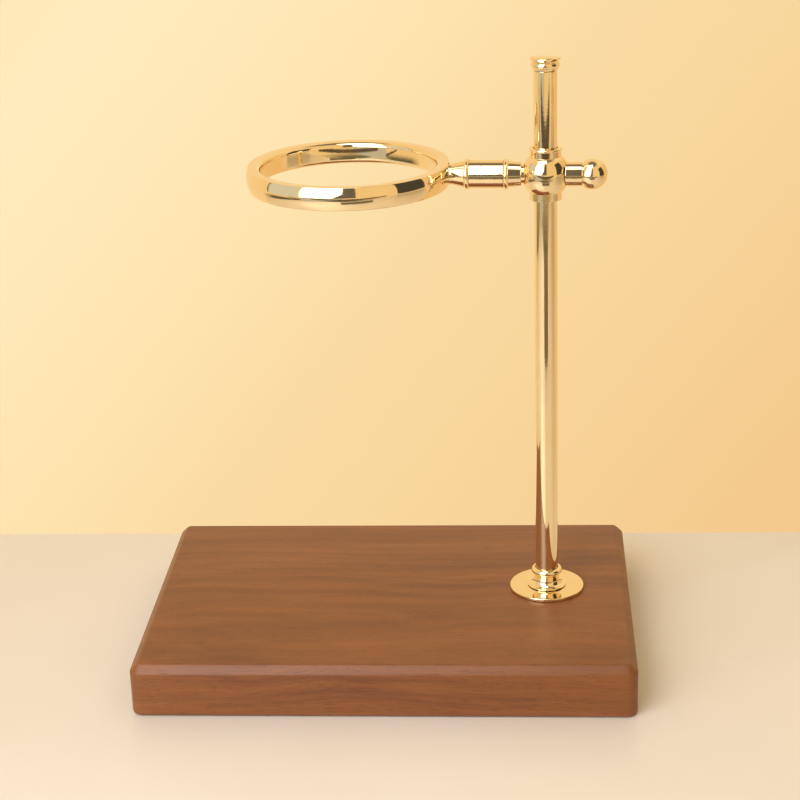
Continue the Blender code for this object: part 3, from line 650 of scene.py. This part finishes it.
make_arm()
make_ring()


# ================================================================ clamp
def make_clamp():
    """Ball knob on its neck, and the threaded rod that is fixed in it."""
    start = BARREL_RADIUS + 0.3
    neck_end = start + 6.8
    groove_end = neck_end + 0.8
    screw_end = start + 9.5
    groove = 5.5
    ball = 7.9
    ball_set = 4.0    # groove to the ball's centre
    ball_start = -math.degrees(math.asin(ball_set / ball))
    profile = [(0.0, screw_end + FIT), (STUD_HOLE, screw_end + FIT), (STUD_HOLE, KNOB_SEAT + FIT),
               (KNOB_NECK, KNOB_SEAT + FIT, 0.35), (KNOB_NECK, neck_end, 0.25),
               (groove, neck_end + 0.1, 0.1), (groove, groove_end - 0.05)]
    profile += arc(0.0, groove_end + ball_set, ball, ball_start, 90.0, 60)
    finish_piece("ball_knob", spun(profile, 128), brass, "clamp_handle", "clamp_knob",
                 along_clamp)

    tip_length = 1.4
    pitch = 1.0
    root = STUD_RADIUS - 0.5
    first = POLE_RADIUS + FIT + tip_length + FIT
    thread = [(0.0, first), (2.2, first)]
    turn = first + 0.5
    while turn + pitch < screw_end:
        thread += [(STUD_RADIUS, turn + 0.15), (STUD_RADIUS, turn + 0.3), (root, turn + 0.7),
                   (root, turn + 0.85)]
        turn += pitch
    thread += [(STUD_RADIUS - 0.3, screw_end), (0.0, screw_end)]
    finish_piece("threaded_rod", spun(thread, 48), steel, "clamp_handle", "clamp_screw",
                 along_clamp)


make_clamp()

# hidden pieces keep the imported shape
for name in ("pole_foot_plug", "pole_head_plug", "arm_stud", "ring_stud"):
    nodes[name].data.materials[0] = steel
for name in ("upper_bush", "lower_bush", "clamp_tip"):
    nodes[name].data.materials[0] = nylon


# ================================================================ floor, light and camera
def make_floor():
    """Pale honed stone table top: satin, with broad faint clouds and a soft mirror of the room.

    It ends close behind the board, and lies 0.05 mm under the pads so that no faces coincide.
    """
    width, depth = 2.2, 0.837
    middle_x, rear_edge = 0.45, 0.137
    drop = 0.05 * MM
    material, tree, shader = new_material("pale_honed_stone")
    shader.inputs["Roughness"].default_value = 0.28
    place = add_node(tree, "ShaderNodeTexCoord").outputs["Object"]
    # clouds about 170 mm across
    cloud = add_node(tree, "ShaderNodeTexNoise", {"Scale": 6.0, "Detail": 3.0}, {"Vector": place})
    tone = add_node(tree, "ShaderNodeValToRGB", links={"Fac": cloud.outputs["Fac"]})
    colour_stops(tone, [(0.3, "#E6E0DA"), (0.7, "#EBE6E1")])
    tree.links.new(tone.outputs["Color"], shader.inputs["Base Color"])
    shape = bmesh.new()
    bmesh.ops.create_grid(shape, x_segments=1, y_segments=1, size=0.5)
    bmesh.ops.scale(shape, verts=shape.verts, vec=(width, depth, 1.0))
    bmesh.ops.translate(shape, verts=shape.verts, vec=(middle_x, rear_edge - depth / 2, -drop))
    mesh = bpy.data.meshes.new("table_top")
    shape.to_mesh(mesh)
    shape.free()
    mesh.materials.append(material)
    floor = bpy.data.objects.new("table_top", mesh)
    bpy.context.scene.collection.objects.link(floor)


def make_world():
    """Cream wall behind the stand, a warm room in front of it and a dim ceiling.

    The wall is lightest to the left and upwards. The room in front is dark low down, except
    towards the right. Colours go by direction alone, so nothing here has a distance.
    """
    world = bpy.data.worlds.new("studio")
    world.use_nodes = True
    tree = world.node_tree
    back = tree.nodes["Background"]
    direction = add_node(tree, "ShaderNodeTexCoord").outputs["Generated"]
    split = add_node(tree, "ShaderNodeSeparateXYZ", links={"Vector": direction})
    # the wall's light falls off to the right and downwards
    lean = add_node(tree, "ShaderNodeVectorMath", {1: (-0.45, 0.0, 0.40)}, {0: direction},
                    operation="DOT_PRODUCT")
    spread = add_node(tree, "ShaderNodeMapRange", {"From Min": -0.25, "From Max": 0.20},
                      {"Value": lean.outputs["Value"]})
    wall = add_node(tree, "ShaderNodeValToRGB", links={"Fac": spread.outputs["Result"]})
    colour_stops(wall, [(0.09, "#F4CA8E"), (0.29, "#F9D89F"), (0.37, "#FBDBA4"), (0.44, "#FEE3AD"),
                        (0.62, "#FFEBBE"), (0.78, "#FEDFAC")])
    # in front, steep downward directions are dark, except towards the right
    not_steep = add_node(tree, "ShaderNodeMapRange", {"From Min": -0.28, "From Max": -0.22},
                           {"Value": split.outputs["Z"]})
    rightward = add_node(tree, "ShaderNodeMapRange", {"From Min": 0.15, "From Max": 0.75},
                         {"Value": split.outputs["X"]})
    lit = add_node(tree, "ShaderNodeMath",
                   links={0: not_steep.outputs["Result"], 1: rightward.outputs["Result"]},
                   operation="MAXIMUM")
    front = add_node(tree, "ShaderNodeValToRGB", links={"Fac": lit.outputs["Value"]})
    colour_stops(front, [(0.0, "#6C6450"), (1.0, "#F8D9A4")])
    # front and wall meet at the sides, and both give way to the ceiling
    behind = add_node(tree, "ShaderNodeMapRange", {"From Min": 0.0, "From Max": 0.3},
                      {"Value": split.outputs["Y"]})
    level = add_node(tree, "ShaderNodeMix",
                     links={"Factor": behind.outputs["Result"], "A": front.outputs["Color"],
                            "B": wall.outputs["Color"]}, data_type="RGBA")
    rise = add_node(tree, "ShaderNodeMapRange", {"From Min": 0.86, "From Max": 0.94},
                    {"Value": split.outputs["Z"]})
    whole = add_node(tree, "ShaderNodeMix", {"B": linear("#857B6C")},
                     {"Factor": rise.outputs["Result"], "A": level.outputs["Result"]}, data_type="RGBA")
    tree.links.new(whole.outputs["Result"], back.inputs["Color"])
    bpy.context.scene.world = world


def make_card(name, start, end, low, high, colour, top_share=1.0):
    """Glowing upright screen between two floor points; it may narrow upwards.

    It is hidden from the camera and casts no shadow, but it shows in reflections and adds its
    own light.
    """
    material = bpy.data.materials.new(name)
    material.use_nodes = True
    tree = material.node_tree
    tree.nodes.clear()
    glow = add_node(tree, "ShaderNodeEmission", {"Color": linear(colour)})
    add_node(tree, "ShaderNodeOutputMaterial", links={"Surface": glow.outputs["Emission"]})
    along = Vector((end[0] - start[0], end[1] - start[1], 0.0))
    shape = bmesh.new()
    bmesh.ops.create_grid(shape, x_segments=1, y_segments=1, size=0.5)
    facing = along.cross(Vector((0.0, 0.0, 1.0)))
    across = Matrix((along, (0.0, 0.0, high - low), facing)).transposed().to_4x4()
    middle = Vector(((start[0] + end[0]) / 2, (start[1] + end[1]) / 2, (low + high) / 2))
    for vert in shape.verts:
        if vert.co.y > 0.0:
            vert.co.x = 0.5 - (0.5 - vert.co.x) * top_share
    bmesh.ops.transform(shape, matrix=Matrix.Translation(middle) @ across, verts=shape.verts)
    mesh = bpy.data.meshes.new(name)
    shape.to_mesh(mesh)
    shape.free()
    mesh.materials.append(material)
    card = bpy.data.objects.new(name, mesh)
    card.visible_camera = False
    card.visible_shadow = False
    bpy.context.scene.collection.objects.link(card)


def make_softbox(name, place, width, height, power):
    """Faintly cool white rectangular light that points straight down until it is aimed."""
    light = bpy.data.lights.new(name, "AREA")
    light.shape = "RECTANGLE"
    light.size = width
    light.size_y = height
    light.energy = power
    light.color = linear("#FBFCFF")[:3]
    lamp = bpy.data.objects.new(name, light)
    lamp.location = place
    bpy.context.scene.collection.objects.link(lamp)
    return lamp


def make_lights():
    """A large softbox in front on the left, one overhead for reflections, and the screens."""
    softbox = make_softbox("softbox", (-0.336, -0.775, 0.85), 0.77, 1.35, 12.6)
    softbox.rotation_euler = Vector((0.71, 0.70, 0.0)).to_track_quat("-Z", "Y").to_euler()
    overhead = make_softbox("overhead_softbox", (-0.25, -0.48, 1.56), 0.9, 0.62, 6.0)
    overhead.visible_diffuse = False
    make_card("dark_behind_camera", (-0.06, -0.90), (0.175, -0.90), 0.16, 1.40, "#6E675F")
    make_card("dark_shoulder", (-0.24, -0.90), (-0.06, -0.90), 0.16, 0.42, "#6E675F", 0.02)
    # a dim card off to the right, which shows as a dark patch in the brass
    make_card("dark_right_card", (1.28, -0.79), (1.47, 0.14), 0.05, 1.40, "#4A463E")
    make_card("grey_screen", (-0.735, -0.58), (-0.912, 0.038), 0.12, 0.95, "#DCDCD0")
    make_card("screen_edge", (-0.912, 0.038), (-0.916, 0.068), 0.12, 0.95, "#5A5040")
    # painted shade: a dim low card in front stands for shade low down, and shows dark in the pole and
    # ring
    make_card("low_shade_card", (-0.05, -0.44), (0.25, -0.44), 0.0, 0.09, "#7C6E56")
    make_card("light_below_softbox", (-0.607, -0.50), (-0.065, -1.05), 0.0, 0.17, "#C8C2B8")
    make_card("dark_rail", (-0.62, -0.62), (0.62, -0.62), 0.10, 0.148, "#5A4D40")
    make_card("table_edge_shadow", (-1.5, -0.701), (1.5, -0.701), -0.05, -0.002, "#5A4030")


def make_camera():
    """Camera in front of the stand and above it, turned a little left and rolled by two degrees."""
    camera = bpy.data.cameras.new("camera")
    camera.lens = 89.2
    camera.sensor_width = 36.0
    camera.shift_x = 0.0194
    eye = bpy.data.objects.new("camera", camera)
    yaw, pitch, roll = (math.radians(angle) for angle in (-4.335, -20.590, -1.947))
    ahead = Vector((math.sin(yaw) * math.cos(pitch), math.cos(yaw) * math.cos(pitch), math.sin(pitch)))
    right = Vector((math.cos(yaw), -math.sin(yaw), 0.0))
    up = right.cross(ahead)
    side = right * math.cos(roll) + up * math.sin(roll)
    over = up * math.cos(roll) - right * math.sin(roll)
    turn = Matrix((side, over, -ahead)).transposed()
    eye.matrix_world = Matrix.Translation((0.0739, -0.9788, 0.5085)) @ turn.to_4x4()
    bpy.context.scene.collection.objects.link(eye)
    bpy.context.scene.camera = eye


make_floor()
make_world()
make_lights()
make_camera()
bpy.context.scene.view_settings.view_transform = "Standard"
